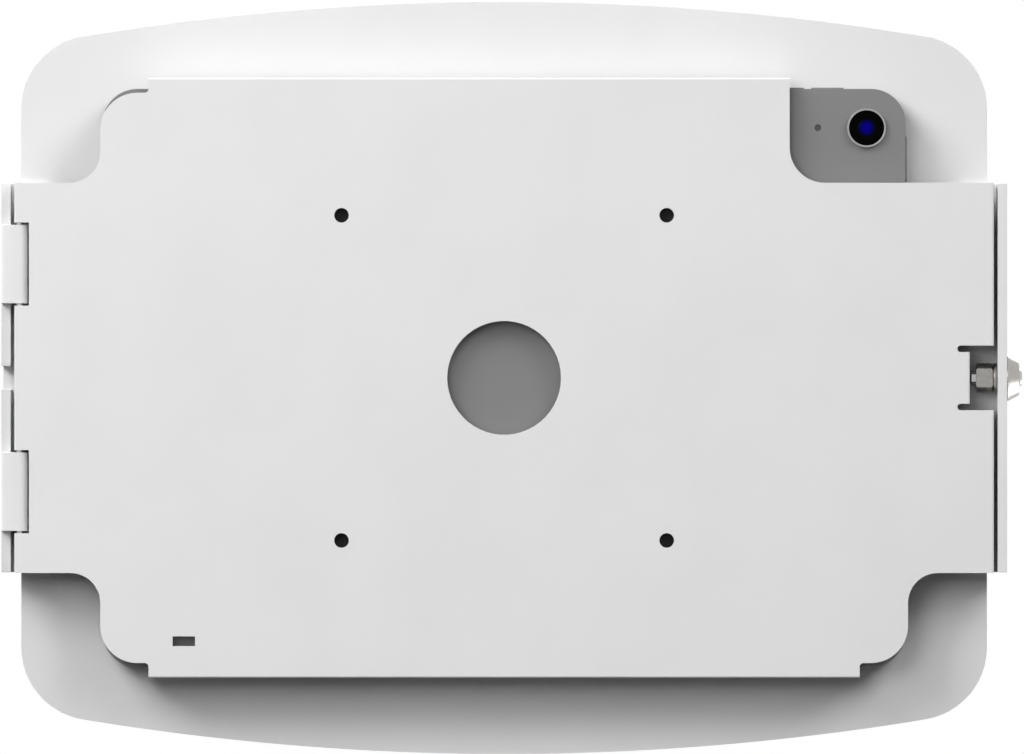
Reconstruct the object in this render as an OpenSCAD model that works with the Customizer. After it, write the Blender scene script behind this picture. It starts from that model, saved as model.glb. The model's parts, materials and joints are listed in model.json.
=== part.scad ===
// Lockable tablet enclosure: a folded back plate with a square bolt pattern, a front frame that
// swings on two hinge knuckles, a key lock that bolts the frame shut, and the tablet in between.
// The origin is the centre of the bolt pattern on the plate's rear face. +X points to the lock
// side, +Y forward to the screen and +Z up, in millimetres.

/* [Back plate] */
// Thickness of the plate's sheet
plate_t = 2; // [1.5:0.1:2.4]
// Inner radius of the plate's bends
plate_bend = 0.5; // [0.3:0.1:1.2]
// Outer radius of the plate's bends, pressed nearly sharp
plate_edge_r = 0.6; // [0.3:0.1:1.8]
// Hole to hole distance of the square bolt pattern
bolt_pitch = 100; // [75:1:110]
// Diameter of the bolt holes
bolt_hole_d = 4.5; // [4:0.1:6]
// Diameter of the cable hole in the middle
cable_hole_d = 35; // [24:0.5:44]
// Height of the wide band that carries the hinge and the lock
band_h = 120; // [110:0.5:128]
// Room between the tablet's short edge and the outside of the plate's side flange
side_room = 27.1; // [24:0.1:32]
// How far the tray's sides stand outside the tablet's short edges
tray_over = 0.7; // [0:0.1:1.5]
// Radius of the tray's corners
tray_corner_r = 11.4; // [6:0.2:13]
// Radius of the fillet where the tray meets the band
tray_fillet_r = 9.2; // [4:0.2:12]
// Drop from a long flange's outer face to the tray's shoulder
shoulder_drop = 4.6; // [3.8:0.1:6]
// Radius of the fillet where a tray's shoulder meets a long flange
shoulder_fillet_r = 1.2; // [0.5:0.1:1.2]
// Distance from the tray's side to the end of a long flange
flange_end = 14.85; // [13.4:0.05:20]
// Depth of the flanges, from the plate's rear face
flange_depth = 9; // [7:0.1:9.6]
// Width of the camera cut-out, from the tablet's short edge
camera_cut_w = 35.7; // [30:0.1:45]
// Radius in the corner of the camera cut-out
camera_cut_r = 10.8; // [4:0.2:14]
// Length of the cable-lock slot
anchor_slot_l = 6.9; // [6:0.1:8]
// Height of the cable-lock slot
anchor_slot_h = 3; // [2.6:0.1:4]
// Distance of the cable-lock slot from the tray's side
anchor_slot_in = 25.7; // [20:0.1:40]
// Distance of the cable-lock slot from the flange's outer face
anchor_slot_up = 11.3; // [8:0.1:16]

/* [Tablet] */
// Length of the tablet
tablet_w = 247; // [238:0.5:260]
// Height of the tablet
tablet_h = 177.8; // [170:0.2:188]
// Thickness of the tablet
tablet_t = 7; // [6:0.1:8]
// Radius of the tablet's corners
tablet_r = 10.6; // [8:0.2:14]
// Gap between the tablet's long edges and the flanges
tablet_gap = 1.4; // [0.6:0.1:2]
// Thickness of the shell's back
shell_floor = 1.2; // [0.8:0.1:1.6]
// Thickness of the shell's rim
shell_wall = 2.2; // [1.8:0.1:3]
// Width of the shell's edge that frames the glass
glass_inset = 1; // [0.6:0.1:1.4]
// Thickness of the front glass
glass_t = 0.8; // [0.5:0.1:1.2]
// Thickness of the display panel
display_t = 1.6; // [1:0.1:2]
// Diameter of the camera ring
camera_d = 12; // [9:0.2:14]
// Width of the camera ring's metal
camera_ring_w = 0.6; // [0.4:0.1:1.5]
// How far the camera ring stands proud
camera_proud = 1.1; // [0.8:0.1:1.6]
// Distance of the camera's centre from both tablet edges
camera_in = 12; // [11:0.1:16]
// Distance from the camera to the microphone hole
microphone_step = 15; // [11:0.1:20]
// Diameter of the microphone hole
microphone_d = 2; // [1:0.1:3]
// Length of a volume button
volume_l = 10; // [8:0.5:11]
// Gap between the two volume buttons
volume_gap = 2.2; // [1.6:0.1:4]
// Distance from the end of the round corner to the first volume button
volume_room = 8.4; // [2:0.1:10]
// Length of the power button
power_l = 14; // [10:0.5:14]
// Distance from the end of the round corner to the power button
power_room = 4; // [1.5:0.1:4]
// Width of the buttons
button_w = 2.4; // [2:0.1:2.8]
// Travel of the buttons
button_travel = 0.3; // [0.2:0.05:0.4]
// How far a pressed button still stands proud
button_left = 0.1; // [0.05:0.05:0.3]
// Length of the charging port's mouth
port_l = 9; // [8:0.1:10]
// Height of the charging port's mouth
port_h = 3.2; // [2.8:0.1:3.6]
// Length of the charging port inside the shell's rim
port_in = 3; // [2:0.1:4]
// Wall of the charging port's sleeve
port_wall = 0.35; // [0.25:0.05:0.5]
// Gap between the display panel and what stands inside the rim
display_gap = 0.4; // [0.2:0.1:1]
// Distance from the battery and the board to the shell's long edges
inner_margin = 20; // [14:0.5:30]
// Length of one battery cell
cell_w = 84; // [60:1:90]
// Gap between the two battery cells
cell_gap = 2; // [1:0.5:6]
// Width of the circuit board
board_w = 24; // [16:0.5:28]
// Gap between the battery and the circuit board
board_gap = 9.3; // [2:0.1:14]
// Thickness of the circuit board
board_t = 1.2; // [0.8:0.1:1.6]

/* [Cushions] */
// Thickness of the pads behind the tablet
pad_t = 2; // [1.5:0.1:3]
// Height of the pad strips
pad_h = 10; // [6:0.5:14]
// Distance from a pad strip's end to the flange's end
pad_end = 5; // [3:0.5:12]
// Radius of the pad strips' corners
pad_r = 2; // [1:0.1:2.8]
// Radius of the side stops' corners
stop_r = 1.5; // [0.5:0.1:1.8]
// Gap between a side stop and the tablet's short edge
stop_fit = 0.3; // [0.2:0.05:0.8]
// Gap between a side stop and the hinge ear, the band's edge or the side fold
stop_gap = 1.2; // [0.6:0.1:2]
// Depth of the side stops
stop_depth = 6; // [4:0.2:6.5]
// Thickness of the gasket round the screen
gasket_t = 1.8; // [1.4:0.1:2.4]
// Width of the gasket
gasket_w = 4; // [2:0.2:5]
// How far the gasket stands back from the screen opening
gasket_back = 1; // [0.5:0.1:2]
// Gap between the gasket and the glass
gasket_gap = 0.2; // [0.1:0.05:0.4]

/* [Front frame] */
// Thickness of the front sheet
fascia_t = 2.5; // [2:0.1:3]
// Height of the front sheet beyond each long edge of the tablet
fascia_over = 26.9; // [22:0.1:34]
// Radius of the bowed top and bottom edges
fascia_bow_r = 795; // [500:5:1500]
// Radius of the front sheet's corners
fascia_corner_r = 22.5; // [14:0.5:32]
// Width of glass that the frame covers on each side
screen_margin = 10; // [8:0.2:14]
// Corner radius of the screen opening
screen_r = 7; // [3:0.5:10]
// Diameter of the front camera hole
front_camera_d = 7; // [4:0.5:8]
// Distance from the tablet's top edge to the front camera
front_camera_in = 4.9; // [4.4:0.1:5.4]
// Thickness of the side rails' walls
rail_t = 2.9; // [2.4:0.1:3.1]
// Thickness of the side rails' feet
foot_t = 1.6; // [1.4:0.1:2]
// Gap between the plate's side flange and a rail
rail_gap = 1.2; // [1:0.1:2]
// How far the rails stand outside the front sheet's edge
rail_proud = 6; // [4.5:0.1:7]
// Radius of the rails' outer bends
rail_bend = 3.2; // [2:0.1:4]
// Width of a rail's foot under the front sheet
rail_foot = 14.7; // [10:0.1:18]
// Rear edge of the lock rail, from the plate's rear face
lock_rail_back = 0.5; // [0.3:0.1:1.2]
// Width of the cable notch
cable_notch_w = 7.2; // [5:0.2:10]

/* [Hinge] */
// Diameter of the hinge pins
pin_d = 2; // [1.6:0.1:2.2]
// Wall of the rolled knuckles
knuckle_wall = 1.5; // [1.2:0.1:1.8]
// Length of a knuckle
knuckle_l = 24.2; // [18:0.2:25]
// Distance from the band's long edge to a knuckle's centre
knuckle_in = 25; // [24:0.1:29]
// Depth of the knuckles' rear face below the plate's
knuckle_sink = 0.5; // [0.2:0.1:0.8]
// Gap at each end of a knuckle
knuckle_gap = 0.7; // [0.4:0.1:1.2]
// Gap between a knuckle and the plate's notch
notch_gap = 0.3; // [0.25:0.05:0.6]
// Distance from the side flange's outer face to the hinge axis
hinge_in = 1.6; // [1.5:0.1:2]
// Gap between the swung rail and the plate's edge
swing_gap = 0.5; // [0.4:0.1:1]

/* [Lock] */
// Gap between the nut's flat and the rail's foot
nut_room = 0.25; // [0.15:0.05:0.5]
// Diameter of the lock's head
lock_head_d = 14.3; // [12:0.1:15]
// Diameter of the head's outer end
lock_face_d = 10.7; // [9.4:0.1:11.5]
// Length of the head's straight part
lock_rim = 0.4; // [0.2:0.1:1]
// Length of the head's cone
lock_cone = 3.4; // [3:0.1:5]
// Diameter of the threaded shank
lock_shank_d = 5.6; // [5.4:0.1:6]
// Diameter of the key core
lock_core_d = 5.2; // [5:0.1:7]
// How far the key core stands proud of the head
lock_nose = 0.9; // [0.8:0.1:1.6]
// Diameter of the bolt
lock_bolt_d = 4.4; // [3.8:0.1:4.6]
// Throw of the bolt
lock_throw = 4; // [3:0.1:4.5]
// Diameter of the nut
nut_d = 9.1; // [8.6:0.1:9.3]
// Width of the nut across its two flats
nut_flats = 7.1; // [6.9:0.1:8]
// Thickness of the nut
nut_t = 5.2; // [4:0.1:5.4]
// Chamfer at the nut's ends
nut_chamfer = 0.4; // [0.2:0.1:0.6]
// Outer diameter of the washer
washer_d = 9.2; // [8.6:0.1:9.4]
// Thickness of the washer
washer_t = 1.4; // [1:0.1:1.6]
// Chamfer at the washer's edges
washer_chamfer = 0.3; // [0.1:0.1:0.5]
// Clearance round the washer in its seat
washer_fit = 0.2; // [0.1:0.05:0.3]
// Gap between the nut's inner face and the strike tab
strike_room = 2; // [1.8:0.1:3]
// Gap between the drawn bolt and the strike tab
strike_gap = 0.3; // [0.25:0.05:0.8]
// Half width of the strike tab
strike_half = 7.95; // [6:0.05:9]
// Gap between the strike tab's end and the rail's foot
strike_clear = 0.3; // [0.25:0.05:0.6]
// Width of the relief slots beside the strike tab
relief_w = 2; // [1.6:0.1:3]
// Length of the relief slots past the tab's bend
relief_l = 3.8; // [3.6:0.1:8]

/* [Fits] */
// Radial clearance of parts that turn or slide on each other
run_fit = 0.06; // [0.03:0.01:0.09]
// Radial clearance of parts that are fixed in each other
seat_fit = 0.03; // [0.01:0.01:0.06]
// Clearance round the buttons
button_fit = 0.1; // [0.05:0.01:0.15]

/* [Hidden] */
$fn = 64;
// Steps along each bowed edge and round each corner of the front sheet
bow_steps = 40;
corner_steps = 12;
// Overlap of a cutting tool past the face that it opens
cut = 1;

// Depths, from the plate's rear face forwards
tablet_y = plate_t + pad_t;
glass_y = tablet_y + tablet_t - glass_t;
glass_front = tablet_y + tablet_t;
fascia_y = glass_front + gasket_gap + gasket_t;
rail_foot_y = fascia_y - foot_t;
tablet_mid_y = tablet_y + tablet_t / 2;

// Plate
plate_r = plate_bend + plate_t;
band_x = tablet_w / 2 + side_room;
band_z = band_h / 2;
tray_x = tablet_w / 2 + tray_over;
flange_x = tray_x - flange_end;
flange_z = tablet_h / 2 + tablet_gap + plate_t;
shoulder_z = flange_z - shoulder_drop;
camera_cut_x = tablet_w / 2 - camera_cut_w;
anchor_slot_x = anchor_slot_in - tray_x;
anchor_slot_z = anchor_slot_up - flange_z;

// Button places along the tablet's edges
volume_up_x = tablet_w / 2 - tablet_r - volume_l / 2 - volume_room;
volume_down_x = volume_up_x - volume_l - volume_gap;
power_z = tablet_h / 2 - tablet_r - power_l / 2 - power_room;
button_proud = button_travel + button_left;
button_lip_t = 0.6;
button_lip_w = 0.5;
// Flat left in the middle of a bar's round ends
bar_flat = 0.01;

// Small details inside the tablet
cell_r = 3;
board_r = 1.5;
board_x = tablet_w / 2 - shell_wall - port_in - board_w / 2;
battery_x = board_x - board_w / 2 - board_gap - cell_w - cell_gap / 2;
tongue_side = 1.2;
tongue_t = 0.7;
tongue_back = 1;
lens_sink = 0.3;

// Front frame
rail_in = band_x + rail_gap;
rail_out = rail_in + rail_t;
rail_short = 0.2;
rail_z = band_z - rail_short;
fascia_w = 2 * (rail_out - rail_proud);
fascia_h = tablet_h + 2 * fascia_over;
window_w = tablet_w - 2 * screen_margin;
window_h = tablet_h - 2 * screen_margin;

// Hinge
hinge_x = hinge_in - band_x;
knuckle_z = band_z - knuckle_in;
knuckle_r = pin_d / 2 + run_fit + knuckle_wall;
hinge_y = knuckle_sink + knuckle_r;
notch_x = hinge_x + knuckle_r + notch_gap;
notch_l = knuckle_l + 2 * knuckle_gap;
pin_l = notch_l + 2 * plate_t;
hinge_rail_back = hinge_y + hinge_in + swing_gap;
ear_depth = hinge_y + pin_d;
cable_notch_back = plate_r + plate_bend;
ear_root = 0.5;
pin_chamfer = 0.25;

// Lock, along X
lock_y = rail_foot_y - nut_room - nut_flats / 2;
washer_x = rail_in - washer_t;
nut_x = washer_x - nut_t;
strike_x = nut_x - strike_room;
bolt_tip_x = strike_x + strike_gap;
relief_half = strike_half + relief_w;
strike_depth = rail_foot_y - strike_clear;
head_end = rail_out + lock_rim + lock_cone;
head_floor = 0.5;
core_floor = rail_out + head_floor;
core_gap = 0.1;
core_bore_d = lock_core_d + 2 * run_fit;
core_back = core_floor + core_gap;
bolt_gap = 0.3;
bolt_back = core_floor - bolt_gap;
shank_sink = 0.4;
shank_end = nut_x + shank_sink;
core_tail_d = 2.4;
tail_hold = 2;
core_tail_x = bolt_back - lock_throw - tail_hold;
tail_room = 0.7;
bolt_bore_x = core_tail_x - tail_room;
bolt_chamfer = 0.3;
strike_fit = 0.4;
face_dish_w = 1.4;
face_dish = 0.4;
key_slot_l = 3.6;
key_slot_w = 0.9;
key_slot_depth = 1.6;
nose_chamfer = 0.4;

// Extrudes an X-Z drawing forward from a depth
module sheet(from_y, thickness)
    translate([0, from_y + thickness, 0])
        rotate([90, 0, 0])
            linear_extrude(thickness)
                children();

// Extrudes an X-Y drawing upwards, centred on a height
module upright(mid_z, height)
    translate([0, 0, mid_z - height / 2])
        linear_extrude(height)
            children();

// Extrudes a Y-Z drawing towards the lock side
module sideways(from_x, length)
    translate([from_x, 0, 0])
        rotate([90, 0, 90])
            linear_extrude(length)
                children();

// Rod along the lock's axis
module lock_rod(from_x, to_x, d)
    translate([from_x, lock_y, 0])
        rotate([0, 90, 0])
            cylinder(h = to_x - from_x, d = d);

// Cone along the lock's axis
module lock_cone_rod(from_x, to_x, from_d, to_d)
    translate([from_x, lock_y, 0])
        rotate([0, 90, 0])
            cylinder(h = to_x - from_x, d1 = from_d, d2 = to_d);

// Centred rectangle with round corners
module round_rect(w, h, r) {
    square([w - 2 * r, h], center = true);
    square([w, h - 2 * r], center = true);
    for (sx = [-1, 1], sy = [-1, 1])
        translate([sx * (w / 2 - r), sy * (h / 2 - r)])
            circle(r);
}

// Web that fills an inner corner at the origin, open towards +X and +Y
module corner_fillet(r)
    difference() {
        square(r);
        translate([r, r])
            circle(r);
    }

// Profile of a flange folded forward: first axis outwards, second axis forward
module fold_profile(reach, depth) {
    translate([reach - plate_r, 0])
        square([plate_r - plate_edge_r, plate_t]);
    translate([reach - plate_t, plate_edge_r])
        square([plate_t, depth - plate_edge_r]);
    translate([reach - plate_edge_r, plate_edge_r])
        circle(plate_edge_r);
    translate([reach - plate_t, plate_t])
        mirror([1, 0])
            corner_fillet(plate_bend);
}

// Flat outline of the plate inside its folds
module plate_outline() {
    square([2 * (band_x - plate_r), band_h], center = true);
    round_rect(2 * tray_x, 2 * shoulder_z, tray_corner_r);
    square([2 * flange_x, 2 * (flange_z - plate_r)], center = true);
    for (sx = [-1, 1], sz = [-1, 1])
        scale([sx, sz]) {
            translate([tray_x, band_z])
                corner_fillet(tray_fillet_r);
            translate([flange_x, shoulder_z])
                corner_fillet(shoulder_fillet_r);
        }
}

// Corner of the plate that is cut away round the camera
module camera_cut_outline() {
    reach = band_x - camera_cut_x;
    translate([camera_cut_x + camera_cut_r, band_z])
        square([reach, flange_z]);
    translate([camera_cut_x, band_z + camera_cut_r])
        square([reach, flange_z]);
    translate([camera_cut_x + camera_cut_r, band_z + camera_cut_r])
        circle(camera_cut_r);
}

// Slots beside the strike tab and the notch in front of it
module lock_notch_outline() {
    relief_x = strike_x - relief_l + relief_w / 2;
    for (sz = [-1, 1])
        translate([relief_x, sz * (strike_half + relief_w / 2)]) {
            circle(d = relief_w);
            translate([0, -relief_w / 2])
                square([band_x, relief_w]);
        }
    translate([strike_x - plate_r, -relief_half])
        square([band_x, 2 * relief_half]);
}

// Folded plate with its bolt pattern, hinge notches, ears and strike tab
module back_plate() color("whitesmoke") {
    difference() {
        union() {
            sheet(0, plate_t)
                plate_outline();
            for (side = [0, 1])
                mirror([side, 0, 0])
                    upright(0, band_h)
                        fold_profile(band_x, flange_depth);
            long_flange(-flange_x, flange_x, 1);
            long_flange(-flange_x, flange_x, 0);
            for (sz = [-1, 1], end = [-1, 1])
                hinge_ear(sz * knuckle_z + end * (notch_l + plate_t) / 2);
        }
        sheet(-cut, flange_depth + 2 * cut) {
            camera_cut_outline();
            lock_notch_outline();
            for (sz = [-1, 1])
                translate([-band_x - cut, sz * knuckle_z - notch_l / 2])
                    square([notch_x + band_x + cut, notch_l]);
        }
        sheet(-cut, plate_t + 2 * cut) {
            for (sx = [-1, 1], sz = [-1, 1])
                translate([sx * bolt_pitch / 2, sz * bolt_pitch / 2])
                    circle(d = bolt_hole_d);
            circle(d = cable_hole_d);
            translate([anchor_slot_x, anchor_slot_z])
                square([anchor_slot_l, anchor_slot_h], center = true);
        }
        translate([hinge_x, hinge_y, -band_h / 2])
            cylinder(h = band_h, d = pin_d + 2 * seat_fit);
        sheet(cable_notch_back, flange_depth)
            translate([-band_x, 0])
                square([2 * plate_r, cable_notch_w], center = true);
    }
    difference() {
        upright(0, 2 * strike_half)
            fold_profile(strike_x, strike_depth);
        lock_rod(strike_x - plate_t - cut, strike_x + cut, lock_bolt_d + 2 * strike_fit);
    }
}

// Folded flange along a long edge of the tablet, below it or above it
module long_flange(from_x, to_x, below)
    mirror([0, 0, below])
        sideways(from_x, to_x - from_x)
            mirror([1, -1])
                fold_profile(flange_z, flange_depth);

// Ear that holds one end of a hinge pin, behind the plate
module hinge_ear(mid_z)
    upright(mid_z, plate_t)
        translate([-band_x + plate_t, plate_t - ear_root])
            square([hinge_in + pin_d, ear_depth - plate_t + ear_root]);

// Hinge pin with chamfered ends
module hinge_pin(mid_z) color("silver")
    translate([hinge_x, hinge_y, mid_z - pin_l / 2])
        rotate_extrude()
            polygon([
                [0, 0],
                [pin_d / 2 - pin_chamfer, 0],
                [pin_d / 2, pin_chamfer],
                [pin_d / 2, pin_l - pin_chamfer],
                [pin_d / 2 - pin_chamfer, pin_l],
                [0, pin_l]
            ]);

module hinge_pin_upper() hinge_pin(knuckle_z);

module hinge_pin_lower() hinge_pin(-knuckle_z);

// Two pad strips that carry the tablet's back and keep it off the bolts' ends
module rear_pads() color("dimgray")
    for (sz = [-1, 1])
        sheet(plate_t, pad_t)
            translate([0, sz * bolt_pitch / 2])
                round_rect(2 * (flange_x - pad_end), pad_h, pad_r);

// Blocks on the plate that keep the tablet from sliding sideways
module side_stops() color("dimgray") {
    stop_from = tablet_w / 2 + stop_fit;
    stop_to = band_x - plate_r - stop_gap;
    stop_top = band_z - stop_gap;
    stop_foot = knuckle_z + pin_l / 2 + stop_gap;
    stop_h = stop_top - stop_foot;
    stop_z = stop_foot + stop_h / 2;
    for (sx = [-1, 1], sz = [-1, 1])
        sheet(plate_t, stop_depth)
            translate([sx * (stop_from + stop_to) / 2, sz * stop_z])
                round_rect(stop_to - stop_from, stop_h, stop_r);
}

// Outline of the tablet, drawn in from its edge
module tablet_outline(inset)
    round_rect(tablet_w - 2 * inset, tablet_h - 2 * inset, tablet_r - inset);

// Places its children at the camera, with the first axis pointing backwards
module at_camera()
    translate([tablet_w / 2 - camera_in, tablet_y, tablet_h / 2 - camera_in])
        rotate([90, 0, 0])
            children();

// Metal tray of the tablet, with its button slots and its port
module tablet_shell() color("darkgray")
    difference() {
        sheet(tablet_y, tablet_t)
            tablet_outline(0);
        sheet(glass_y, glass_t + cut)
            tablet_outline(glass_inset - seat_fit);
        sheet(tablet_y + shell_floor, tablet_t)
            tablet_outline(shell_wall);
        at_camera()
            translate([-microphone_step, 0, -shell_floor / 2])
                cylinder(h = shell_floor, d = microphone_d);
        for (x = [volume_up_x, volume_down_x])
            at_top_edge(x)
                button_bar(volume_l + 2 * button_fit, button_w + 2 * button_fit, shell_wall + cut, cut);
        at_lock_edge(power_z)
            button_bar(power_l + 2 * button_fit, button_w + 2 * button_fit, shell_wall + cut, cut);
        at_hinge_edge()
            button_bar(port_l + 2 * seat_fit, port_h + 2 * seat_fit, shell_wall + cut, cut);
    }

// Bar through an edge: length and width across it, from a depth inside to a height outside
module button_bar(length, width, inside, outside)
    translate([0, 0, -inside])
        linear_extrude(inside + outside)
            round_rect(length, width, width / 2 - bar_flat);

// Places its children on the tablet's top edge, the third axis pointing out
module at_top_edge(x)
    translate([x, tablet_mid_y, tablet_h / 2])
        children();

// Places its children on the tablet's edge at the lock side
module at_lock_edge(z)
    translate([tablet_w / 2, tablet_mid_y, z])
        rotate([0, 90, 0])
            children();

// Places its children on the tablet's edge at the hinge side
module at_hinge_edge()
    translate([-tablet_w / 2, tablet_mid_y, 0])
        rotate([0, -90, 0])
            children();

// Button cap with the lip that keeps it in the shell
module button(length) {
    button_bar(length, button_w, shell_wall, button_proud);
    translate([0, 0, -shell_wall])
        button_bar(length + 2 * button_lip_w, button_w + 2 * button_lip_w, button_lip_t, 0);
}

module tablet_power_button() color("gray")
    at_lock_edge(power_z)
        button(power_l);

module tablet_volume_up() color("gray")
    at_top_edge(volume_up_x)
        button(volume_l);

module tablet_volume_down() color("gray")
    at_top_edge(volume_down_x)
        button(volume_l);

// Front glass, set into the shell's rim
module tablet_glass() color("black")
    sheet(glass_y, glass_t)
        tablet_outline(glass_inset);

// Display panel bonded behind the glass
module tablet_display() color("darkslategray")
    sheet(glass_y - display_t, display_t)
        tablet_outline(shell_wall + port_in + display_gap);

// Two cells side by side on the shell's floor
module tablet_battery() color("slategray") {
    cell_t = tablet_t - shell_floor - glass_t - display_t - display_gap;
    for (sx = [-1, 1])
        sheet(tablet_y + shell_floor, cell_t)
            translate([battery_x + sx * (cell_w + cell_gap) / 2, 0])
                round_rect(cell_w, tablet_h - 2 * inner_margin, cell_r);
}

// Circuit board along the camera end of the shell
module tablet_board() color("darkgreen")
    sheet(tablet_y + shell_floor, board_t)
        translate([board_x, 0])
            round_rect(board_w, tablet_h - 2 * inner_margin, board_r);

// Raised metal ring round the camera
module tablet_camera_ring() color("lightgray")
    at_camera()
        difference() {
            cylinder(h = camera_proud, d = camera_d);
            translate([0, 0, -cut])
                cylinder(h = camera_proud + 2 * cut, d = camera_d - 2 * camera_ring_w);
        }

// Camera window inside the ring
module tablet_camera_lens() color("black")
    at_camera()
        cylinder(h = camera_proud - lens_sink, d = camera_d - 2 * (camera_ring_w + seat_fit));

// Charging socket: a sleeve in the shell's rim with a contact tongue
module tablet_port() color("dimgray")
    at_hinge_edge() {
        socket_depth = shell_wall + port_in;
        difference() {
            button_bar(port_l, port_h, socket_depth, 0);
            translate([0, 0, cut])
                button_bar(port_l - 2 * port_wall, port_h - 2 * port_wall, socket_depth, 0);
        }
        translate([0, 0, -socket_depth / 2 - tongue_back / 2])
            cube([port_l - 2 * tongue_side, tongue_t, socket_depth - tongue_back], center = true);
    }

// Points along an arc, both ends included
function arc_points(mid, r, from_deg, to_deg, steps) = [
    for (i = [0:steps])
        let (a = from_deg + (to_deg - from_deg) * i / steps)
            mid + r * [cos(a), sin(a)]
];

// Outline of the front sheet: bowed long edges, straight sides, round corners, as one closed
// run of arcs that meet on a common tangent
module fascia_outline() {
    bow_mid = fascia_h / 2 - fascia_bow_r;
    corner_x = fascia_w / 2 - fascia_corner_r;
    corner_z = bow_mid + sqrt(pow(fascia_bow_r - fascia_corner_r, 2) - pow(corner_x, 2));
    meet = atan2(corner_z - bow_mid, corner_x);
    polygon([
        each arc_points([corner_x, corner_z], fascia_corner_r, 0, meet, corner_steps),
        each arc_points([0, bow_mid], fascia_bow_r, meet, 180 - meet, bow_steps),
        each arc_points([-corner_x, corner_z], fascia_corner_r, 180 - meet, 180, corner_steps),
        each arc_points([-corner_x, -corner_z], fascia_corner_r, 180, 180 + meet, corner_steps),
        each arc_points([0, -bow_mid], fascia_bow_r, 180 + meet, 360 - meet, bow_steps),
        each arc_points([corner_x, -corner_z], fascia_corner_r, 360 - meet, 360, corner_steps)
    ]);
}

// Front sheet with the screen opening and the front camera hole
module fascia() color("whitesmoke")
    sheet(fascia_y, fascia_t)
        difference() {
            fascia_outline();
            round_rect(window_w, window_h, screen_r);
            translate([0, tablet_h / 2 - front_camera_in])
                circle(d = front_camera_d);
        }

// Soft ring between the front sheet and the glass
module screen_gasket() color("black")
    sheet(fascia_y - gasket_t, gasket_t)
        difference() {
            gasket_outline(gasket_w);
            gasket_outline(0);
            translate([0, tablet_h / 2 - front_camera_in])
                circle(d = front_camera_d + gasket_back);
        }

// Edge of the gasket, a width outside its inner edge
module gasket_outline(width)
    round_rect(
        window_w + 2 * (gasket_back + width),
        window_h + 2 * (gasket_back + width),
        screen_r + width
    );

// Angle section of a rail at the lock side: wall from a rear edge, foot under the front sheet
module rail_profile(back_y) {
    translate([rail_in, back_y])
        square([rail_t, fascia_y - rail_bend - back_y]);
    translate([rail_out - rail_foot, rail_foot_y])
        square([rail_foot - rail_bend, foot_t]);
    translate([rail_out - rail_bend, fascia_y - rail_bend])
        intersection() {
            circle(rail_bend);
            square(rail_bend);
        }
}

// Section of a knuckle, drawn at the hinge side: the rail's wall rolled round the pin
module knuckle_profile() {
    translate([hinge_x, hinge_y])
        circle(knuckle_r);
    translate([-rail_out + rail_bend, knuckle_sink + rail_bend])
        circle(rail_bend);
    translate([-rail_out + rail_bend, knuckle_sink])
        square([rail_out - rail_bend + hinge_x, knuckle_r]);
    translate([-rail_out, knuckle_sink + rail_bend])
        square([rail_t, hinge_rail_back]);
}

// Rail at the hinge side, with its knuckles and the cable notch
module hinge_rail() color("gainsboro")
    difference() {
        union() {
            mirror([1, 0, 0])
                upright(0, 2 * rail_z)
                    rail_profile(hinge_rail_back);
            for (sz = [-1, 1])
                upright(sz * knuckle_z, knuckle_l)
                    knuckle_profile();
        }
        translate([hinge_x, hinge_y, -band_h / 2])
            cylinder(h = band_h, d = pin_d + 2 * run_fit);
        translate([-rail_out - cut, hinge_rail_back - cut, -cable_notch_w / 2])
            cube([rail_t + 2 * cut, rail_foot_y - hinge_rail_back + cut, cable_notch_w]);
    }

// Rail at the lock side, drilled for the lock's shank and spot-faced for its washer
module lock_rail() color("gainsboro")
    difference() {
        upright(0, 2 * rail_z)
            rail_profile(lock_rail_back);
        lock_rod(rail_in - cut, rail_out + cut, lock_shank_d + 2 * seat_fit);
        lock_rod(washer_x - washer_fit, rail_in, washer_d + 2 * washer_fit);
    }

// Lock housing: conical head outside the rail, threaded shank through it
module lock_body() color("silver")
    difference() {
        union() {
            lock_rod(rail_out, rail_out + lock_rim, lock_head_d);
            lock_cone_rod(rail_out + lock_rim, head_end, lock_head_d, lock_face_d);
            lock_rod(shank_end, rail_out, lock_shank_d);
        }
        lock_cone_rod(head_end - face_dish, head_end, core_bore_d, lock_core_d + 2 * face_dish_w);
        lock_rod(core_floor, head_end + cut, core_bore_d);
        lock_rod(shank_end - cut, core_floor + cut, lock_bolt_d + 2 * run_fit);
    }

// Disc along the lock's axis with both rims chamfered
module lock_disc(from_x, thickness, d, chamfer)
    translate([from_x, lock_y, 0])
        rotate([0, 90, 0])
            rotate_extrude()
                polygon([
                    [0, 0],
                    [d / 2 - chamfer, 0],
                    [d / 2, chamfer],
                    [d / 2, thickness - chamfer],
                    [d / 2 - chamfer, thickness],
                    [0, thickness]
                ]);

// Round nut with two flats that clamps the lock to the rail
module lock_nut() color("silver")
    difference() {
        intersection() {
            lock_disc(nut_x, nut_t, nut_d, nut_chamfer);
            translate([nut_x + nut_t / 2, lock_y, 0])
                cube([nut_t + cut, nut_flats, nut_d + cut], center = true);
        }
        lock_rod(nut_x - cut, washer_x + cut, lock_shank_d + 2 * seat_fit);
    }

// Washer between the nut and the rail
module lock_washer() color("silver")
    difference() {
        lock_disc(washer_x, washer_t, washer_d, washer_chamfer);
        lock_rod(washer_x - cut, rail_in + cut, lock_shank_d + 2 * seat_fit);
    }

// Key core: a turned nose with a key slot and a tail that drives the bolt
module lock_core() color("lightgray")
    difference() {
        union() {
            lock_rod(core_back, head_end + lock_nose - nose_chamfer, lock_core_d);
            lock_cone_rod(
                head_end + lock_nose - nose_chamfer,
                head_end + lock_nose,
                lock_core_d,
                lock_core_d - 2 * nose_chamfer
            );
            lock_rod(core_tail_x, core_back, core_tail_d);
        }
        translate([head_end + lock_nose, lock_y, 0])
            cube([2 * key_slot_depth, key_slot_w, key_slot_l], center = true);
    }

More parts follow.
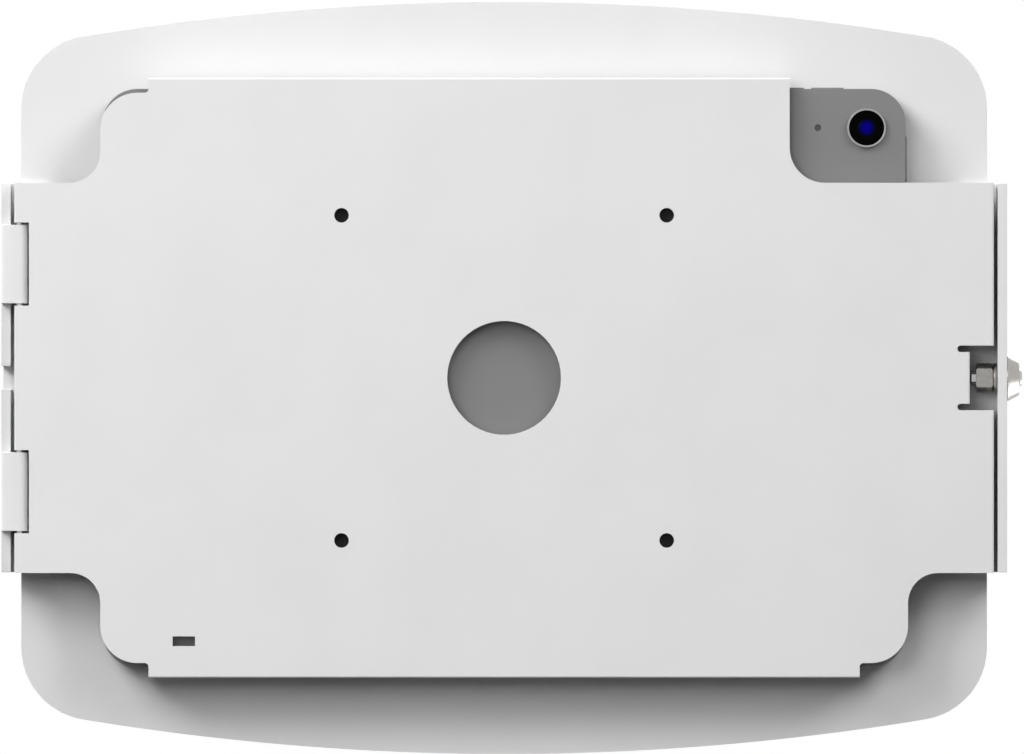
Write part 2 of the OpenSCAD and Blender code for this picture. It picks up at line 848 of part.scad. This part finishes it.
// Sliding bolt: a chamfered rod, bored for the core's tail
module lock_bolt() color("silver")
    difference() {
        union() {
            lock_cone_rod(bolt_tip_x, bolt_tip_x + bolt_chamfer, lock_bolt_d - 2 * bolt_chamfer, lock_bolt_d);
            lock_rod(bolt_tip_x + bolt_chamfer, bolt_back, lock_bolt_d);
        }
        lock_rod(bolt_bore_x, bolt_back + cut, core_tail_d + 2 * run_fit);
    }

back_plate();
hinge_pin_upper();
hinge_pin_lower();
rear_pads();
side_stops();
tablet_shell();
tablet_glass();
tablet_display();
tablet_battery();
tablet_board();
tablet_camera_ring();
tablet_camera_lens();
tablet_port();
tablet_power_button();
tablet_volume_up();
tablet_volume_down();
fascia();
hinge_rail();
lock_rail();
screen_gasket();
lock_body();
lock_nut();
lock_washer();
lock_core();
lock_bolt();
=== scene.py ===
# %% [markdown]
# # A lockable tablet enclosure, photographed from behind
# The object is a white powder-coated sheet-metal case that holds a tablet. The construction, the sizes
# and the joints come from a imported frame. This lesson gives every piece its finish, rounds its edges as
# the coating does on the real one, and models the soft and optical pieces.

# %% Load the frame
import json
import math

import bpy
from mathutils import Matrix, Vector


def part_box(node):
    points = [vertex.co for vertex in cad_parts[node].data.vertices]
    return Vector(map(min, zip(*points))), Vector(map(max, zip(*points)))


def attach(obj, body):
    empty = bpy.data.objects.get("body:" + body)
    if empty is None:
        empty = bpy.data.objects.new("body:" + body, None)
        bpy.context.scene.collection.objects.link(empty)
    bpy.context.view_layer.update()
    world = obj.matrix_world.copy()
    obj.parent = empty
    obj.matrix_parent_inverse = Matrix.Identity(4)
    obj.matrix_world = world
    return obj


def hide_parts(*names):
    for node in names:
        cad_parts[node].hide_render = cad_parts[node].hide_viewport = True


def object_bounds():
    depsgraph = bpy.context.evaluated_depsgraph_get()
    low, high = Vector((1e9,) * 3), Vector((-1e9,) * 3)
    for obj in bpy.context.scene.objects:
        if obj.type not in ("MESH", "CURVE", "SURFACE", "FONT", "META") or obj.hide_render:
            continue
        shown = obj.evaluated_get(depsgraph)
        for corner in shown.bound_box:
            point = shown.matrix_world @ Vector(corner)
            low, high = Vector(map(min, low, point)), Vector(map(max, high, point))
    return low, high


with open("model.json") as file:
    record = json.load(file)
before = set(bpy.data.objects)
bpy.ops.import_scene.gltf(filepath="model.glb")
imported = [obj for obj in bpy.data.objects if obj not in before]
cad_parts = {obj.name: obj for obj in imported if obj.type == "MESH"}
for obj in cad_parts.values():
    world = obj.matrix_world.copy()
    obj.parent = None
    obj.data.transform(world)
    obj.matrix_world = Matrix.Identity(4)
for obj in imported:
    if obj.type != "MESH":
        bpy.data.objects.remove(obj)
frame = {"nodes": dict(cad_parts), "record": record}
cad_low, cad_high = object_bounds()
nodes = frame["nodes"]
slot_of = {row["node"]: row["material_slot"] for row in frame["record"]["subparts"]}
body_of = {node: body for body, members in frame["record"]["behaviour"]["bodies"].items() for node in members}
MM = 0.001
MICRON = 0.001 * MM
print("nodes:", len(nodes), "size in mm:", [round((b - a) / MM, 1) for a, b in zip(cad_low, cad_high)])

# %% [markdown]
# ## Camera
# The photograph looks straight at the rear of the plate and shows no perspective: neither the holes nor
# the lock let their inner walls be seen. A long lens from far away repeats that. The four bolt holes
# are 100 mm apart and give the picture's scale, and a small lens shift puts the plate's centre
# a little left of the picture's middle without turning the camera.

# %% Camera
LENS = 1000
SENSOR = 36
PICTURE_WIDTH = 1024
PICTURE_HEIGHT = 754
PIXELS_PER_METRE = 3252
PLATE_CENTRE_X = 504.11
PLATE_CENTRE_Y = 377.87

camera_distance = LENS / SENSOR * PICTURE_WIDTH / PIXELS_PER_METRE
bpy.ops.object.camera_add(location=(0, -camera_distance, 0), rotation=(math.pi / 2, 0, 0))
camera = bpy.context.object
camera.data.lens = LENS
camera.data.sensor_width = SENSOR
camera.data.shift_x = (PICTURE_WIDTH / 2 - PLATE_CENTRE_X) / PICTURE_WIDTH
camera.data.shift_y = (PLATE_CENTRE_Y - PICTURE_HEIGHT / 2) / PICTURE_WIDTH
bpy.context.scene.camera = camera
print("camera distance in m:", round(camera_distance, 3))

# %% [markdown]
# ## Shader arithmetic
# A finish is a node tree, and most of it is arithmetic. Wrapping an output socket in a small class lets
# that arithmetic be written as Python expressions. Every other node comes from one method, which sets
# the node's own settings first and then its sockets.

# %% A socket that can be calculated with


class Tap:
    """One output of a node; arithmetic on taps adds Math nodes to the same finish."""

    def __init__(self, finish, socket):
        self.finish = finish
        self.socket = socket

    def __add__(self, other):
        return self.finish.math("ADD", self, other)

    def __radd__(self, other):
        return self.finish.math("ADD", other, self)

    def __sub__(self, other):
        return self.finish.math("SUBTRACT", self, other)

    def __rsub__(self, other):
        return self.finish.math("SUBTRACT", other, self)

    def __mul__(self, other):
        return self.finish.math("MULTIPLY", self, other)

    def __rmul__(self, other):
        return self.finish.math("MULTIPLY", other, self)


# %% A finish whose nodes are added one by one


class Finish:
    """A material, or the world, whose nodes are added one by one."""

    def __init__(self, name, kind="materials"):
        self.owner = getattr(bpy.data, kind).new(name)
        self.owner.use_nodes = True
        self.tree = self.owner.node_tree
        self.tree.nodes.clear()

    def node(self, kind, settings=None, inputs=None, output=0):
        made = self.tree.nodes.new(kind)
        for key, value in (settings or {}).items():
            setattr(made, key, value)
        for key, value in (inputs or {}).items():
            if isinstance(value, Tap):
                self.tree.links.new(value.socket, made.inputs[key])
            else:
                made.inputs[key].default_value = value
        return Tap(self, made.outputs[output]) if made.outputs else None

    def math(self, operation, *values):
        return self.node("ShaderNodeMath", {"operation": operation}, dict(enumerate(values)))

    def vector_math(self, operation, *values, output=0):
        return self.node("ShaderNodeVectorMath", {"operation": operation}, dict(enumerate(values)), output)

    def place(self):
        return self.node("ShaderNodeTexCoord", output="Object")

    def coordinate(self, axis):
        """The place along X, Y or Z, for axis 0, 1 or 2."""
        return self.node("ShaderNodeSeparateXYZ", inputs={"Vector": self.place()}, output=axis)

    def from_axis(self, x, z):
        """The distance from a line along Y through x and z."""
        offset = self.vector_math("SUBTRACT", self.place(), (x, 0, z))
        flat = self.vector_math("MULTIPLY", offset, (1, 0, 1))
        return self.vector_math("LENGTH", flat, output="Value")

    def ray(self, kind):
        """1 for one kind of ray, such as Is Camera Ray, and 0 for the others."""
        return self.node("ShaderNodeLightPath", output=kind)

    def noise(self, size, detail=2.0, roughness=0.5):
        """Noise whose blotches are about size metres across, from 0 to 1."""
        return self.node(
            "ShaderNodeTexNoise",
            inputs={"Vector": self.place(), "Scale": 1 / size, "Detail": detail, "Roughness": roughness},
        )

    def blend(self, factor, first, second):
        """A colour between two colours."""
        return self.node(
            "ShaderNodeMix", {"data_type": "RGBA"}, {0: factor, 6: (*first, 1), 7: (*second, 1)}, output=2
        )

    def smooth(self, value, low, high):
        """0 below low, 1 above high, smooth between."""
        return self.node(
            "ShaderNodeMapRange",
            {"interpolation_type": "SMOOTHSTEP"},
            {"Value": value, "From Min": low, "From Max": high},
        )

    def relief(self, height, depth):
        """A Bump normal; depth is the height in metres of a full step."""
        return self.node("ShaderNodeBump", inputs={"Height": height, "Distance": depth, "Strength": 1.0})

    def mix(self, factor, first, second):
        """A shader between two shaders."""
        return self.node("ShaderNodeMixShader", inputs={0: factor, 1: first, 2: second})

    def surface(self, **sockets):
        inputs = {key.replace("_", " "): value for key, value in sockets.items()}
        shader = self.node("ShaderNodeBsdfPrincipled", inputs=inputs)
        self.node("ShaderNodeOutputMaterial", inputs={"Surface": shader})
        return self.owner


# %% [markdown]
# ## White powder coat
# Plate, front sheet and rails are sprayed with white powder and baked. The cured film is satin, with an
# orange-peel ripple under half a millimetre wide and slow changes of gloss where the film is thicker.
# A picture of the film would blur up close, so it is made of noise in three sizes: clouds change tint and
# gloss, and a ripple and a grain make the relief.

# %% White powder coat
COAT_WHITE = (0.755, 0.755, 0.755)
COAT_SHADE = (0.738, 0.738, 0.741)


def white_powder_coat():
    finish = Finish("white_powder_coat")
    cloud = finish.noise(35 * MM)
    peel = finish.noise(0.45 * MM, detail=3)
    grain = finish.noise(0.12 * MM, detail=1)
    return finish.surface(
        Base_Color=finish.blend(finish.smooth(cloud, 0.35, 0.7), COAT_WHITE, COAT_SHADE),
        Roughness=0.40 + 0.10 * cloud + 0.06 * grain,
        Specular_IOR_Level=0.25,
        Normal=finish.relief(peel + 0.3 * grain, 12 * MICRON),
    )


FINISHES = {"white_powder_coat": white_powder_coat()}
print("finishes:", ", ".join(FINISHES))

# %% [markdown]
# ## Metals
# The lock is plated: a satin nickel housing and nut, and a bright core and bolt. Turning leaves fine rings
# round the lock's axis, so their ripple is a sine of the place along that axis, which needs no wrapping and
# shows no seam. What lies behind the rail, in the notch, is painted darker as shade. The tablet's shell is
# blasted before it is anodised, which leaves a fine even grain.

# %% Plated and anodised metals
RING_PITCH = 0.22 * MM
RAIL_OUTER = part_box("lock_rail")[1].x
STAIN = 0.15


def turned_metal(name, colour, roughness, ring_depth, inside):
    """Plated metal with turning rings along the lock's axis.

    Behind the rail, in the notch, its colour is painted inside times as light, as shade.
    """
    finish = Finish(name)
    along = finish.coordinate(0)
    rings = finish.math("SINE", along * (2 * math.pi / RING_PITCH))
    haze = finish.noise(1.6 * MM, detail=3)
    # Painted shade: behind the rail the colour is darkened by inside.
    painted_shade_colour = tuple(inside * part for part in colour)
    unshaded = finish.smooth(along, RAIL_OUTER - 0.5 * MM, RAIL_OUTER)
    stain = STAIN * finish.smooth(haze, 0.4, 0.75)
    return finish.surface(
        Base_Color=finish.blend(unshaded * (1 - 2 * stain) + stain, painted_shade_colour, colour),
        Metallic=1.0,
        Roughness=roughness + 0.08 * haze,
        Normal=finish.relief(rings, ring_depth),
    )


def blasted_metal():
    """Grey anodised shell with a fine blasted grain."""
    finish = Finish("tablet_metal")
    grain = finish.noise(0.18 * MM)
    cloud = finish.noise(20 * MM)
    return finish.surface(
        Base_Color=finish.blend(cloud, (0.225, 0.225, 0.227), (0.205, 0.205, 0.208)),
        Metallic=0.15,
        Roughness=0.50 + 0.12 * grain,
        Specular_IOR_Level=0.2,
        Normal=finish.relief(grain, 6 * MICRON),
    )


def plain_steel(name, colour, roughness):
    """Ground steel for pins and contacts."""
    finish = Finish(name)
    scratch = finish.noise(0.5 * MM, detail=4, roughness=0.7)
    return finish.surface(
        Base_Color=finish.blend(scratch, colour, tuple(0.8 * part for part in colour)),
        Metallic=1.0,
        Roughness=roughness + 0.15 * scratch,
    )


FINISHES.update(
    # inside darkens the nickel and chrome behind the rail as painted shade.
    lock_nickel=turned_metal("lock_nickel", (0.42, 0.406, 0.386), 0.24, 0.8 * MICRON, inside=0.66),
    lock_chrome=turned_metal("lock_chrome", (0.50, 0.50, 0.49), 0.10, 0.5 * MICRON, inside=0.8),
    tablet_metal=blasted_metal(),
    pin_steel=plain_steel("pin_steel", (0.55, 0.55, 0.56), 0.25),
    camera_metal=plain_steel("camera_metal", (0.36, 0.36, 0.365), 0.24),
    port_steel=plain_steel("port_steel", (0.40, 0.40, 0.41), 0.3),
)
print("finishes:", ", ".join(FINISHES))

# %% [markdown]
# ## Foam, glass and the pieces inside the tablet
# Foam is matt and full of pores, too many to model one by one, so a pattern of cells dents its relief. Glass
# over a dark display is black and sharply glossy, with the display's area a shade lighter than its border.
# The inner pieces are seen only when the tablet is taken apart, so a plain grain does for them.

# %% Foam and glass
GLASS_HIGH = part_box("tablet_glass")[1]
DISPLAY_BORDER = 8.5 * MM
PORE_SIZE = 0.7 * MM


def closed_cell_foam(name, colour):
    finish = Finish(name)
    pores = finish.node(
        "ShaderNodeTexVoronoi", {"feature": "F1"}, {"Vector": finish.place(), "Scale": 1 / PORE_SIZE}
    )
    dust = finish.noise(4 * MM, detail=3)
    light = tuple(1.9 * part + 0.006 for part in colour)
    return finish.surface(
        Base_Color=finish.blend(0.6 * dust, colour, light),
        Roughness=0.82 + 0.1 * dust,
        Specular_IOR_Level=0.12,
        Normal=finish.relief(pores, 150 * MICRON),
    )


def screen_glass():
    finish = Finish("screen_glass")
    inside_x = GLASS_HIGH.x - DISPLAY_BORDER - finish.math("ABSOLUTE", finish.coordinate(0))
    inside_z = GLASS_HIGH.z - DISPLAY_BORDER - finish.math("ABSOLUTE", finish.coordinate(2))
    inside = finish.math("MINIMUM", inside_x, inside_z)
    lit = finish.smooth(inside, -0.2 * MM, 0.2 * MM)
    smear = finish.noise(30 * MM, detail=4)
    return finish.surface(
        Base_Color=finish.blend(lit, (0.006, 0.006, 0.007), (0.016, 0.017, 0.02)),
        Roughness=0.04 + 0.05 * smear,
        Specular_IOR_Level=0.5,
    )


def matt_film(name, colour, grain_size):
    finish = Finish(name)
    grain = finish.noise(grain_size, detail=3)
    return finish.surface(
        Base_Color=finish.blend(grain, colour, tuple(0.7 * part for part in colour)),
        Roughness=0.55 + 0.2 * grain,
        Normal=finish.relief(grain, 20 * MICRON),
    )


FINISHES.update(
    foam=closed_cell_foam("foam", (0.012, 0.012, 0.0125)),
    gasket_rubber=closed_cell_foam("gasket_rubber", (0.016, 0.016, 0.016)),
    screen_glass=screen_glass(),
    display_panel=matt_film("display_panel", (0.05, 0.05, 0.06), 2 * MM),
    battery_wrap=matt_film("battery_wrap", (0.10, 0.10, 0.11), 6 * MM),
    circuit_board=matt_film("circuit_board", (0.02, 0.10, 0.05), 1 * MM),
)
print("finishes:", ", ".join(FINISHES))

# %% [markdown]
# ## Rounded edges on the rigid pieces
# A sheet that was cut and then coated has no sharp edge: the film rounds it by a few tenths of a
# millimetre, and that line catches the light. The frame's meshes are loose triangles and stay as they
# are, so each rigid piece is copied, its triangles are merged and dissolved to flat faces, and a
# Bevel modifier rounds the edges. The copy then stands for the piece.

# %% Helpers for copies


def only(piece):
    """Make one object the selected and active one."""
    bpy.ops.object.select_all(action="DESELECT")
    piece.select_set(True)
    bpy.context.view_layer.objects.active = piece


def merged_copy(node, ending):
    """A copy of a node's mesh as a new selected object, with its loose triangles joined."""
    piece = bpy.data.objects.new(node + ending, nodes[node].data.copy())
    bpy.context.scene.collection.objects.link(piece)
    only(piece)
    bpy.ops.object.mode_set(mode="EDIT")
    bpy.ops.mesh.select_all(action="SELECT")
    bpy.ops.mesh.remove_doubles(threshold=1e-6)
    bpy.ops.object.mode_set(mode="OBJECT")
    return piece


def apply(piece, kind, **settings):
    """Add a modifier with its settings to the active piece and apply it."""
    modifier = piece.modifiers.new(kind.lower(), kind)
    for key, value in settings.items():
        setattr(modifier, key, value)
    bpy.ops.object.modifier_apply(modifier=modifier.name)


def stand_for(piece, node):
    """Let a finished piece take a node's place, body and finish."""
    slot = slot_of[node]
    piece.data.materials.clear()
    piece.data.materials.append(FINISHES[slot])
    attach(piece, body_of[node])
    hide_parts(node)
    return piece


# %% Copies with rounded edges
SHARP_ANGLE = math.radians(28)
FLAT_ANGLE = math.radians(0.4)
EDGE_STEPS = 3


def rounded(node, edge):
    """A merged copy of a node with its sharp edges rounded by edge metres."""
    piece = merged_copy(node, "_coated")
    bpy.ops.object.mode_set(mode="EDIT")
    bpy.ops.mesh.select_all(action="SELECT")
    bpy.ops.mesh.dissolve_limited(angle_limit=FLAT_ANGLE)
    bpy.ops.object.mode_set(mode="OBJECT")
    apply(piece, "BEVEL", width=edge, segments=EDGE_STEPS, limit_method="ANGLE", angle_limit=SHARP_ANGLE)
    bpy.ops.object.shade_smooth()
    apply(piece, "WEIGHTED_NORMAL", weight=100)
    return stand_for(piece, node)


EDGES = {
    "back_plate": 0.25 * MM,
    "fascia": 0.5 * MM,
    "hinge_rail": 0.3 * MM,
    "lock_rail": 0.3 * MM,
    "tablet_shell": 0.35 * MM,
    "tablet_glass": 0.2 * MM,
    "tablet_camera_ring": 0.12 * MM,
    "tablet_power_button": 0.15 * MM,
    "tablet_volume_up": 0.15 * MM,
    "tablet_volume_down": 0.15 * MM,
    "tablet_port": 0.05 * MM,
    "lock_body": 0.15 * MM,
    "lock_nut": 0.12 * MM,
    "lock_washer": 0.12 * MM,
    "lock_core": 0.1 * MM,
    "lock_bolt": 0.1 * MM,
    "hinge_pin_upper": 0.05 * MM,
    "hinge_pin_lower": 0.05 * MM,
}
for node, edge in EDGES.items():
    piece = rounded(node, edge)
    print(piece.name, len(piece.data.polygons), "faces")

# %% [markdown]
# ## Pieces inside the tablet
# The display, the battery cells and the board are flat stock that the shell hides. Their shapes are right as
# they are, so they stay, and only get their finish.

# %% Finishes of the inner pieces
for node in ("tablet_display", "tablet_battery", "tablet_board"):
    nodes[node].data.materials.clear()
    nodes[node].data.materials.append(FINISHES[slot_of[node]])
    print(node, "is finished as", slot_of[node])

# %% [markdown]
# ## Foam
# Two strips behind the tablet, four blocks beside it and a ring round the screen are cut from closed-cell
# foam. A knife leaves soft, slightly bulging edges, which a bevel would make too crisp. So each one starts
# from its solid, which is remeshed to even small faces and then smoothed: the corners sink in and the
# middle keeps its height.

# %% Foam pieces
FOAM_VOXEL = 0.45 * MM
FOAM_SMOOTHING = 8


def foam(node):
    """A soft copy of a node: remeshed and smoothed."""
    piece = merged_copy(node, "_foam")
    apply(piece, "REMESH", mode="VOXEL", voxel_size=FOAM_VOXEL)
    apply(piece, "SMOOTH", factor=0.5, iterations=FOAM_SMOOTHING)
    bpy.ops.object.shade_smooth()
    return stand_for(piece, node)


for node in ("rear_pads", "side_stops"):
    foam(node)
foam("screen_gasket")

# %% [markdown]
# ## Camera lens
# Under the cover of a tablet's camera lies a stepped black well with a small domed front element. The deep
# blue reflection of its coating is painted into the glass colour round the middle. A spun profile would have
# to be closed at its poles, so the well is turned another way: a disc is extruded and scaled ring by ring,
# and stays closed at every step.

# %% Turned pieces


def turned(name, centre, rings, sides=96):
    """A piece turned round an axis along Y; rings are (y, radius) from its hidden end to the seen one."""
    first_y, first_radius = rings[0]
    x, z = centre
    bpy.ops.object.select_all(action="DESELECT")
    bpy.ops.mesh.primitive_circle_add(
        vertices=sides,
        radius=first_radius,
        fill_type="NGON",
        location=(x, first_y, z),
        rotation=(math.pi / 2, 0, 0),
    )
    piece = bpy.context.object
    piece.name = name
    bpy.ops.object.transform_apply(location=True, rotation=True, scale=True)
    bpy.ops.object.mode_set(mode="EDIT")
    bpy.ops.mesh.select_all(action="SELECT")
    for (from_y, from_radius), (to_y, to_radius) in zip(rings, rings[1:]):
        bpy.ops.mesh.extrude_region_move(TRANSFORM_OT_translate={"value": (0, to_y - from_y, 0)})
        ratio = to_radius / from_radius
        bpy.ops.transform.resize(value=(ratio, 1, ratio), center_override=(x, to_y, z))
    bpy.ops.mesh.select_all(action="SELECT")
    bpy.ops.mesh.remove_doubles(threshold=1e-7)
    bpy.ops.mesh.normals_make_consistent(inside=False)
    bpy.ops.object.mode_set(mode="OBJECT")
    bpy.ops.object.shade_smooth_by_angle(angle=SHARP_ANGLE)
    return piece


# %% Lens of the rear camera
LENS_LOW, LENS_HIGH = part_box("tablet_camera_lens")
lens_x = (LENS_LOW.x + LENS_HIGH.x) / 2
lens_z = (LENS_LOW.z + LENS_HIGH.z) / 2
lens_r = (LENS_HIGH.x - LENS_LOW.x) / 2
BLUE_R = 3 * MM


def coated_glass():
    """Black glass with the blue reflection of its coating painted in its middle."""
    finish = Finish("camera_glass")
    painted_blue_reflection = 1 - finish.smooth(finish.from_axis(lens_x, lens_z), 0.0, BLUE_R)
    return finish.surface(
        # Painted reflection: the coating's blue in the middle of the glass.
        Base_Color=finish.blend(painted_blue_reflection, (0.0008, 0.0008, 0.0008), (0.002, 0.0, 0.24)),
        Roughness=0.12 + 0.1 * painted_blue_reflection,
        Specular_IOR_Level=0.02,
    )


FINISHES["camera_glass"] = coated_glass()
STEP_Y = LENS_LOW.y + 0.2 * MM
WELL_Y = LENS_LOW.y + 0.34 * MM
DOME_R = 2.5 * MM
DOME_HIGH = 0.12 * MM
dome = [
    (WELL_Y - DOME_HIGH * math.cos(angle), DOME_R * math.sin(angle))
    for angle in (1.5, 1.2, 0.9, 0.6, 0.3, 0.02)
]
well = [
    (LENS_HIGH.y, lens_r),
    (LENS_LOW.y + 0.06 * MM, lens_r),
    (LENS_LOW.y, lens_r - 0.06 * MM),
    (LENS_LOW.y, 4.7 * MM),
    (STEP_Y, 4.6 * MM),
    (STEP_Y, 3.9 * MM),
    (WELL_Y, 3.8 * MM),
    (WELL_Y, 2.6 * MM),
]
stand_for(turned("tablet_camera_lens_stack", (lens_x, lens_z), well + dome), "tablet_camera_lens")
print("lens rings:", len(well) + len(dome))

# %% [markdown]
# ## Microphone and front camera
# Beside the rear camera a small hole leads to a microphone, and a woven steel mesh lies in it. The mesh is
# painted dark, with black gaps, as the shade inside the hole. On the screen side the front sheet has a round
# hole over the tablet's own camera, which is a dark dot under the glass with a painted violet glint. Both are
# turned like the lens: the mesh is a shallow dish, and the dot a flat dome. The glass isn't see-through
# here, so the dot lies on it.

# %% Microphone mesh
SHELL_LOW, SHELL_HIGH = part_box("tablet_shell")
MICROPHONE_STEP = 15 * MM
MESH_R = 0.97 * MM
MESH_PITCH = 0.16 * MM


def woven_mesh_in_painted_shade():
    """Fine steel wires that cross at right angles, painted dark, with black gaps between them as painted
    shade in the hole.
    """
    finish = Finish("microphone_mesh_painted_shade")
    wires = []
    for axis in (0, 2):
        wave = finish.math("SINE", finish.coordinate(axis) * (2 * math.pi / MESH_PITCH))
        wires.append(finish.smooth(wave, -0.2, 0.6))
    wire = finish.math("MAXIMUM", *wires)
    return finish.surface(
        # Painted shade: wires and gaps are dark as the inside of the hole.
        Base_Color=finish.blend(wire, (0.01, 0.01, 0.01), (0.10, 0.10, 0.10)),
        Roughness=0.55 - 0.15 * wire,
        Normal=finish.relief(wire, 40 * MICRON),
    )


mesh_dish = [
    (SHELL_LOW.y + depth * MM, share * MESH_R)
    for depth, share in ((0.58, 1), (0.24, 1), (0.20, 0.9), (0.26, 0.5), (0.28, 0.02))
]
microphone = turned("microphone_mesh_painted_shade", (lens_x - MICROPHONE_STEP, lens_z), mesh_dish, sides=48)
microphone.data.materials.append(woven_mesh_in_painted_shade())
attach(microphone, "plate")
print("microphone mesh faces:", len(microphone.data.polygons))

# %% Front camera
FRONT_CAMERA_IN = 4.9 * MM
FRONT_CAMERA_R = 1.9 * MM
front_z = SHELL_HIGH.z - FRONT_CAMERA_IN


def dark_eye():
    """Black glass with a painted violet glint in its middle."""
    finish = Finish("front_camera")
    middle = 1 - finish.smooth(finish.from_axis(0, front_z), 0.3 * MM, 1.0 * MM)
    return finish.surface(
        # Painted reflection: the violet glint in the middle.
        Base_Color=finish.blend(middle, (0.003, 0.003, 0.004), (0.03, 0.02, 0.10)),
        Roughness=0.08 + 0.06 * middle,
    )


EYE_RINGS = ((-0.05, 1), (0.02, 1), (0.05, 0.93), (0.05, 0.60), (0.01, 0.55), (0.04, 0.30), (0.05, 0.02))
eye = [(GLASS_HIGH.y + rise * MM, share * FRONT_CAMERA_R) for rise, share in EYE_RINGS]
front_camera = turned("front_camera", (0, front_z), eye, sides=64)
front_camera.data.materials.append(dark_eye())
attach(front_camera, "plate")
print("front camera faces:", len(front_camera.data.polygons))

# %% [markdown]
# ## Floor
# The photograph has a plain white ground, and the floor lies below its edge. A white floor would swallow the
# object's white edges from above, so it is pale, with the object's soft shadow, and fades to white far
# away. In reflections it is white.

# %% Floor
FLOOR_DROP = 0.25
FLOOR_SIZE = 8
SHADOW_ZONE = (0.7, 1.0)
HORIZON_ZONE = (1.6, 3.6)
FLOOR_TONE = 0.83
NEAR_GLOW = 0.96
GLOW_SHARE = 0.65
SHADOW_TONE = 0.4
BOUNCE_TONE = 0.06


def pale_ground():
    """Pale floor with the object's soft shadow; it fades to white far away and is white in reflections."""
    finish = Finish("floor")
    seen = finish.ray("Is Camera Ray")
    mirrored = finish.ray("Is Glossy Ray") + finish.ray("Is Transmission Ray")
    away = finish.vector_math("LENGTH", finish.place(), output="Value")
    matt, dim = [
        finish.node("ShaderNodeBsdfDiffuse", inputs={"Color": (tone, tone, tone, 1)})
        for tone in (SHADOW_TONE, BOUNCE_TONE)
    ]
    glow, pale, white = [
        finish.node("ShaderNodeEmission", inputs={"Color": (1, 1, 1, 1), "Strength": strength})
        for strength in (NEAR_GLOW, FLOOR_TONE, 1.0)
    ]
    near = finish.mix(GLOW_SHARE, matt, glow)
    middle = finish.mix(finish.smooth(away, *SHADOW_ZONE), near, pale)
    ground = finish.mix(finish.smooth(away, *HORIZON_ZONE), middle, white)
    unseen = finish.mix(mirrored, dim, white)
    finish.node("ShaderNodeOutputMaterial", inputs={"Surface": finish.mix(seen, unseen, ground)})
    return finish.owner


bpy.ops.mesh.primitive_plane_add(size=FLOOR_SIZE, location=(0, 0, cad_low.z - FLOOR_DROP))
floor = bpy.context.object
floor.name = "floor"
floor.data.materials.append(pale_ground())
print("floor at z in mm:", round(floor.location.z / MM, 1))

# %% [markdown]
# ## Lamps
# The light comes from two high softboxes, left and right, and a weaker one above the viewer: the plate throws
# a long soft shadow down onto the front sheet. Each lamp is placed by two angles, seen from behind the
# plate, so that its direction can be compared with the shadows, and by its distance: a near lamp makes
# its own side of the plate brighter. Two more stand on the screen's side. A white card low at the right
# is there for the lock alone: only gloss shows it, as the bright lower half of the lock's head.

# %% Lamps
LAMP_SPREAD = 0.5
CARD_SIZE = 0.3


def softbox(name, off_axis, roll, reach, level, mirrored=True):
    """A square lamp that faces the plate's centre from reach metres away.

    off_axis is its angle in degrees from the line to the camera, roll its turn to the left from the top,
    and level its strength at the plate, whatever its distance. A lamp that isn't mirrored lights the object,
    but polished metal doesn't show it.
    """
    tilt = math.radians(off_axis)
    turn = math.radians(roll)
    towards = (math.sin(tilt) * math.sin(turn), math.cos(tilt), -math.sin(tilt) * math.cos(turn))
    bpy.ops.object.light_add(type="AREA", location=[-reach * part for part in towards])
    lamp = bpy.context.object
    lamp.name = name
    lamp.visible_camera = False
    lamp.visible_glossy = mirrored
    lamp.data.size = LAMP_SPREAD * reach
    lamp.data.energy = level * reach**2
    lamp.rotation_euler = (
        math.pi / 2 + math.atan2(towards[2], math.hypot(towards[0], towards[1])),
        0,
        math.atan2(towards[1], towards[0]) - math.pi / 2,
    )
    return lamp


softbox("high_left", off_axis=65, roll=45, reach=2.0, level=8.9, mirrored=False)
softbox("high_right", off_axis=65, roll=-45, reach=3.5, level=6.4, mirrored=False)
softbox("viewer", off_axis=28, roll=45, reach=2.0, level=2.9)
softbox("screen_left", off_axis=125, roll=60, reach=2.0, level=5.0)
softbox("screen_right", off_axis=150, roll=-40, reach=2.5, level=5.0)
card = softbox("lock_card", off_axis=90, roll=-123, reach=0.4, level=5.3)
card.data.size = CARD_SIZE
card.visible_diffuse = False

# %% [markdown]
# ## World
# The world is the white ground round the object. The camera and reflections see it at full strength, but so
# much light from all sides would wash the shadows out, so it lights the object with a weak fill only.

# %% World
WORLD_FILL = 0.16

sky = Finish("studio", "worlds")
seen = sky.ray("Is Camera Ray") + sky.ray("Is Glossy Ray") + sky.ray("Is Transmission Ray")
fill, plain = [
    sky.node("ShaderNodeBackground", inputs={"Color": (1, 1, 1, 1), "Strength": strength})
    for strength in (WORLD_FILL, 1.0)
]
sky.node("ShaderNodeOutputWorld", inputs={"Surface": sky.mix(seen, fill, plain)})
bpy.context.scene.world = sky.owner
bpy.context.scene.view_settings.view_transform = "Standard"
print("world fill:", WORLD_FILL)
